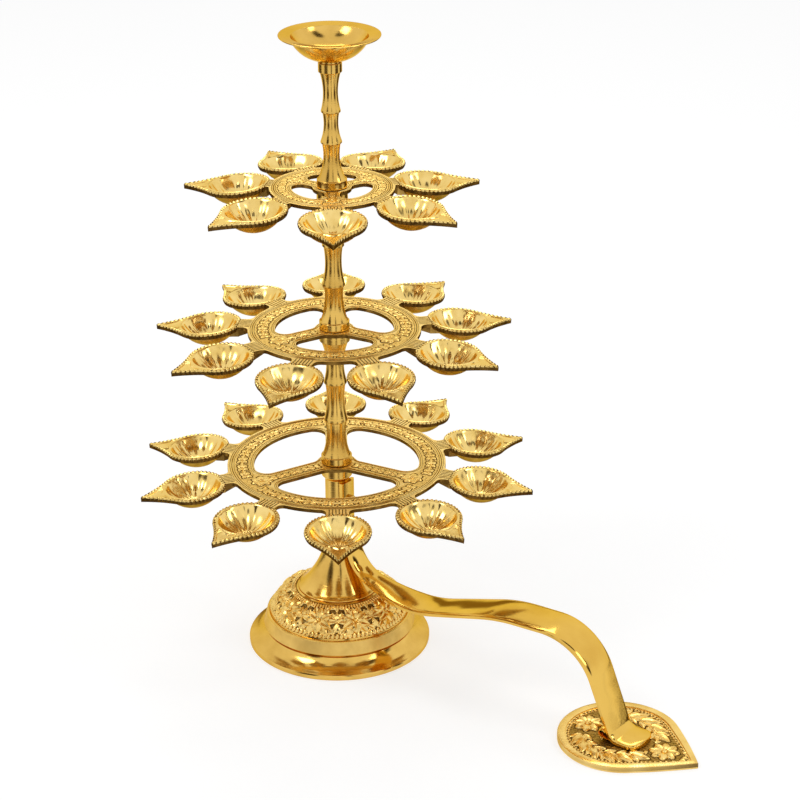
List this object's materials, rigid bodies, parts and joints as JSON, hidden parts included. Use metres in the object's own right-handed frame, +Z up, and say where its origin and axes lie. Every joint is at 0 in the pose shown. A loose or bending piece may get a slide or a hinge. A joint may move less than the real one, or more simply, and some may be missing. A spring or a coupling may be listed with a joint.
{
  "type": "aarti lamp",
  "caption": "Brass aarti lamp: leaf-shaped oil diyas on turning tiers round a turned column, a screw-on camphor dish, a domed hollow foot and a strap handle with a leaf rest.",
  "frame": {"origin": "middle of the foot's underside, on the table", "axes": "+Z up the column, +X along the handle to the leaf plate, +Y to its left"},
  "size_m": [0.3509, 0.229, 0.3598],
  "materials": {
    "cast_brass": "cast, engraved and polished",
    "turned_brass": "turned and polished",
    "strap_brass": "mirror polished",
    "screw_brass": "machined"
  },
  "bodies": {
    "stand": {"base_foot": "cast_brass", "column_lower": "turned_brass", "column_middle": "turned_brass", "column_upper": "turned_brass", "foot_nut": "screw_brass", "foot_washer": "screw_brass", "handle_neck_screw": "screw_brass", "handle_strap": "strap_brass", "leaf_plate": "cast_brass", "leaf_screw": "screw_brass", "pedestal": "turned_brass", "stud_bottom": "screw_brass", "stud_foot": "screw_brass", "stud_middle": "screw_brass", "stud_top": "screw_brass"},
    "bottom_tier": {"tier_bottom_ring": "cast_brass", "diya_bottom_01": "cast_brass", "diya_bottom_02": "cast_brass", "diya_bottom_03": "cast_brass", "diya_bottom_04": "cast_brass", "diya_bottom_05": "cast_brass", "diya_bottom_06": "cast_brass", "diya_bottom_07": "cast_brass", "diya_bottom_08": "cast_brass", "diya_bottom_09": "cast_brass", "diya_bottom_10": "cast_brass"},
    "middle_tier": {"tier_middle_ring": "cast_brass", "diya_middle_01": "cast_brass", "diya_middle_02": "cast_brass", "diya_middle_03": "cast_brass", "diya_middle_04": "cast_brass", "diya_middle_05": "cast_brass", "diya_middle_06": "cast_brass", "diya_middle_07": "cast_brass", "diya_middle_08": "cast_brass", "diya_middle_09": "cast_brass"},
    "top_tier": {"tier_top_ring": "cast_brass", "diya_top_01": "cast_brass", "diya_top_02": "cast_brass", "diya_top_03": "cast_brass", "diya_top_04": "cast_brass", "diya_top_05": "cast_brass", "diya_top_06": "cast_brass", "diya_top_07": "cast_brass"},
    "dish_lift": {"dish_stud": "screw_brass"},
    "dish": {"camphor_dish": "turned_brass"}
  },
  "joints": [
    {"name": "bottom_tier_turn", "type": "hinge", "parent": "stand", "child": "bottom_tier", "pos_m": [0, 0, 0.1115], "axis": [0, 0, 1], "continuous": true},
    {"name": "middle_tier_turn", "type": "hinge", "parent": "stand", "child": "middle_tier", "pos_m": [0, 0, 0.193], "axis": [0, 0, 1], "continuous": true},
    {"name": "top_tier_turn", "type": "hinge", "parent": "stand", "child": "top_tier", "pos_m": [0, 0, 0.2748], "axis": [0, 0, 1], "continuous": true},
    {"name": "dish_rise", "type": "slide", "parent": "stand", "child": "dish_lift", "axis": [0, 0, 1], "range_m": [0, 0.00751]},
    {"name": "dish_turn", "type": "hinge", "parent": "dish_lift", "child": "dish", "pos_m": [0, 0, 0.3448], "axis": [0, 0, 1], "range_deg": [0, 2160]}
  ],
  "couplings": [
    {"joint": "dish_rise", "follows": "dish_turn", "m_per_rad": 0.00019894}
  ]
}
